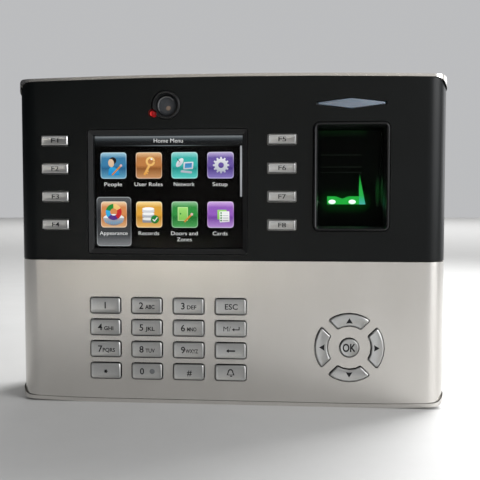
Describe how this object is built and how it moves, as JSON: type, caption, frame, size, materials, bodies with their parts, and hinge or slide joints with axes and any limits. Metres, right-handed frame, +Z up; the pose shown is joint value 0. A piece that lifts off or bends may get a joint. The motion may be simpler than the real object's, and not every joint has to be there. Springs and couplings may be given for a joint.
{
  "type": "fingerprint scanner terminal",
  "caption": "Wall-mounted access terminal with a colour display, number keypad, function keys, arrow keys, camera and a lit fingerprint window.",
  "frame": {"origin": "middle of the footprint, on the surface that the terminal stands on", "axes": "+X to the user's right, -Y out of the front face towards the user, +Y into the wall, +Z up"},
  "size_m": [0.2036, 0.05, 0.1564],
  "materials": {
    "cover_silver": "satin metallic silver paint",
    "cover_black": "satin black",
    "frame_black": "semi-gloss black",
    "clear_pane": "clear",
    "module_metal": "satin",
    "lens_glass": "dark coated",
    "camera_black": "matte",
    "led_red": "translucent red",
    "lens_blue_grey": "translucent blue-grey",
    "board_green": "solder mask",
    "optics_black": "matte black",
    "prism_glass": "polished",
    "mat_rubber": "matte silicone",
    "speaker_black": "matte",
    "switch_black": "matte",
    "plunger_white": "satin",
    "connector_metal": "plated",
    "connector_black": "satin",
    "terminal_green": "satin",
    "plate_steel": "zinc plated",
    "screw_steel": "plated",
    "key_silver": "satin silver"
  },
  "bodies": {
    "terminal": {"rear_housing": "cover_silver", "lower_front_cover": "cover_silver", "upper_front_cover": "cover_black", "display_frame": "frame_black", "camera_ring": "frame_black", "fingerprint_bezel": "frame_black", "display_window": "clear_pane", "display_module": "module_metal", "camera_lens": "lens_glass", "camera_module": "camera_black", "indicator_led": "led_red", "status_light_lens": "lens_blue_grey", "status_light_board": "board_green", "fingerprint_sensor_board": "board_green", "main_board": "board_green", "keypad_board": "board_green", "function_key_board_left": "board_green", "function_key_board_right": "board_green", "card_antenna": "board_green", "fingerprint_housing": "optics_black", "fingerprint_prism": "prism_glass", "keypad_mat": "mat_rubber", "speaker": "speaker_black", "tamper_switch": "switch_black", "ethernet_jack": "connector_metal", "usb_port": "connector_metal", "power_jack": "connector_black", "terminal_block": "terminal_green", "wall_plate": "plate_steel", "security_screw": "screw_steel"},
    "key_1_body": {"key_1": "key_silver"},
    "key_2_body": {"key_2": "key_silver"},
    "key_3_body": {"key_3": "key_silver"},
    "key_escape_body": {"key_escape": "key_silver"},
    "key_4_body": {"key_4": "key_silver"},
    "key_5_body": {"key_5": "key_silver"},
    "key_6_body": {"key_6": "key_silver"},
    "key_menu_body": {"key_menu": "key_silver"},
    "key_7_body": {"key_7": "key_silver"},
    "key_8_body": {"key_8": "key_silver"},
    "key_9_body": {"key_9": "key_silver"},
    "key_backspace_body": {"key_backspace": "key_silver"},
    "key_star_body": {"key_star": "key_silver"},
    "key_0_body": {"key_0": "key_silver"},
    "key_hash_body": {"key_hash": "key_silver"},
    "key_bell_body": {"key_bell": "key_silver"},
    "key_f1_body": {"key_f1": "key_silver"},
    "key_f2_body": {"key_f2": "key_silver"},
    "key_f3_body": {"key_f3": "key_silver"},
    "key_f4_body": {"key_f4": "key_silver"},
    "key_f5_body": {"key_f5": "key_silver"},
    "key_f6_body": {"key_f6": "key_silver"},
    "key_f7_body": {"key_f7": "key_silver"},
    "key_f8_body": {"key_f8": "key_silver"},
    "key_up_body": {"key_up": "key_silver"},
    "key_down_body": {"key_down": "key_silver"},
    "key_left_body": {"key_left": "key_silver"},
    "key_right_body": {"key_right": "key_silver"},
    "key_ok_body": {"key_ok": "key_silver"},
    "tamper_plunger_body": {"tamper_plunger": "plunger_white"}
  },
  "joints": [
    {"name": "key_1_press", "type": "slide", "parent": "terminal", "child": "key_1_body", "axis": [0, 1, 0], "range_m": [0, 0.0008], "stiffness_N_per_m": 800},
    {"name": "key_2_press", "type": "slide", "parent": "terminal", "child": "key_2_body", "axis": [0, 1, 0], "range_m": [0, 0.0008], "stiffness_N_per_m": 800},
    {"name": "key_3_press", "type": "slide", "parent": "terminal", "child": "key_3_body", "axis": [0, 1, 0], "range_m": [0, 0.0008], "stiffness_N_per_m": 800},
    {"name": "key_escape_press", "type": "slide", "parent": "terminal", "child": "key_escape_body", "axis": [0, 1, 0], "range_m": [0, 0.0008], "stiffness_N_per_m": 800},
    {"name": "key_4_press", "type": "slide", "parent": "terminal", "child": "key_4_body", "axis": [0, 1, 0], "range_m": [0, 0.0008], "stiffness_N_per_m": 800},
    {"name": "key_5_press", "type": "slide", "parent": "terminal", "child": "key_5_body", "axis": [0, 1, 0], "range_m": [0, 0.0008], "stiffness_N_per_m": 800},
    {"name": "key_6_press", "type": "slide", "parent": "terminal", "child": "key_6_body", "axis": [0, 1, 0], "range_m": [0, 0.0008], "stiffness_N_per_m": 800},
    {"name": "key_menu_press", "type": "slide", "parent": "terminal", "child": "key_menu_body", "axis": [0, 1, 0], "range_m": [0, 0.0008], "stiffness_N_per_m": 800},
    {"name": "key_7_press", "type": "slide", "parent": "terminal", "child": "key_7_body", "axis": [0, 1, 0], "range_m": [0, 0.0008], "stiffness_N_per_m": 800},
    {"name": "key_8_press", "type": "slide", "parent": "terminal", "child": "key_8_body", "axis": [0, 1, 0], "range_m": [0, 0.0008], "stiffness_N_per_m": 800},
    {"name": "key_9_press", "type": "slide", "parent": "terminal", "child": "key_9_body", "axis": [0, 1, 0], "range_m": [0, 0.0008], "stiffness_N_per_m": 800},
    {"name": "key_backspace_press", "type": "slide", "parent": "terminal", "child": "key_backspace_body", "axis": [0, 1, 0], "range_m": [0, 0.0008], "stiffness_N_per_m": 800},
    {"name": "key_star_press", "type": "slide", "parent": "terminal", "child": "key_star_body", "axis": [0, 1, 0], "range_m": [0, 0.0008], "stiffness_N_per_m": 800},
    {"name": "key_0_press", "type": "slide", "parent": "terminal", "child": "key_0_body", "axis": [0, 1, 0], "range_m": [0, 0.0008], "stiffness_N_per_m": 800},
    {"name": "key_hash_press", "type": "slide", "parent": "terminal", "child": "key_hash_body", "axis": [0, 1, 0], "range_m": [0, 0.0008], "stiffness_N_per_m": 800},
    {"name": "key_bell_press", "type": "slide", "parent": "terminal", "child": "key_bell_body", "axis": [0, 1, 0], "range_m": [0, 0.0008], "stiffness_N_per_m": 800},
    {"name": "key_f1_press", "type": "slide", "parent": "terminal", "child": "key_f1_body", "axis": [0, 1, 0], "range_m": [0, 0.0008], "stiffness_N_per_m": 800},
    {"name": "key_f2_press", "type": "slide", "parent": "terminal", "child": "key_f2_body", "axis": [0, 1, 0], "range_m": [0, 0.0008], "stiffness_N_per_m": 800},
    {"name": "key_f3_press", "type": "slide", "parent": "terminal", "child": "key_f3_body", "axis": [0, 1, 0], "range_m": [0, 0.0008], "stiffness_N_per_m": 800},
    {"name": "key_f4_press", "type": "slide", "parent": "terminal", "child": "key_f4_body", "axis": [0, 1, 0], "range_m": [0, 0.0008], "stiffness_N_per_m": 800},
    {"name": "key_f5_press", "type": "slide", "parent": "terminal", "child": "key_f5_body", "axis": [0, 1, 0], "range_m": [0, 0.0008], "stiffness_N_per_m": 800},
    {"name": "key_f6_press", "type": "slide", "parent": "terminal", "child": "key_f6_body", "axis": [0, 1, 0], "range_m": [0, 0.0008], "stiffness_N_per_m": 800},
    {"name": "key_f7_press", "type": "slide", "parent": "terminal", "child": "key_f7_body", "axis": [0, 1, 0], "range_m": [0, 0.0008], "stiffness_N_per_m": 800},
    {"name": "key_f8_press", "type": "slide", "parent": "terminal", "child": "key_f8_body", "axis": [0, 1, 0], "range_m": [0, 0.0008], "stiffness_N_per_m": 800},
    {"name": "key_up_press", "type": "slide", "parent": "terminal", "child": "key_up_body", "axis": [0, 1, 0], "range_m": [0, 0.0008], "stiffness_N_per_m": 800},
    {"name": "key_down_press", "type": "slide", "parent": "terminal", "child": "key_down_body", "axis": [0, 1, 0], "range_m": [0, 0.0008], "stiffness_N_per_m": 800},
    {"name": "key_left_press", "type": "slide", "parent": "terminal", "child": "key_left_body", "axis": [0, 1, 0], "range_m": [0, 0.0008], "stiffness_N_per_m": 800},
    {"name": "key_right_press", "type": "slide", "parent": "terminal", "child": "key_right_body", "axis": [0, 1, 0], "range_m": [0, 0.0008], "stiffness_N_per_m": 800},
    {"name": "key_ok_press", "type": "slide", "parent": "terminal", "child": "key_ok_body", "axis": [0, 1, 0], "range_m": [0, 0.0008], "stiffness_N_per_m": 800},
    {"name": "tamper_plunger_press", "type": "slide", "parent": "terminal", "child": "tamper_plunger_body", "axis": [0, -1, 0], "range_m": [0, 0.001], "stiffness_N_per_m": 400}
  ]
}
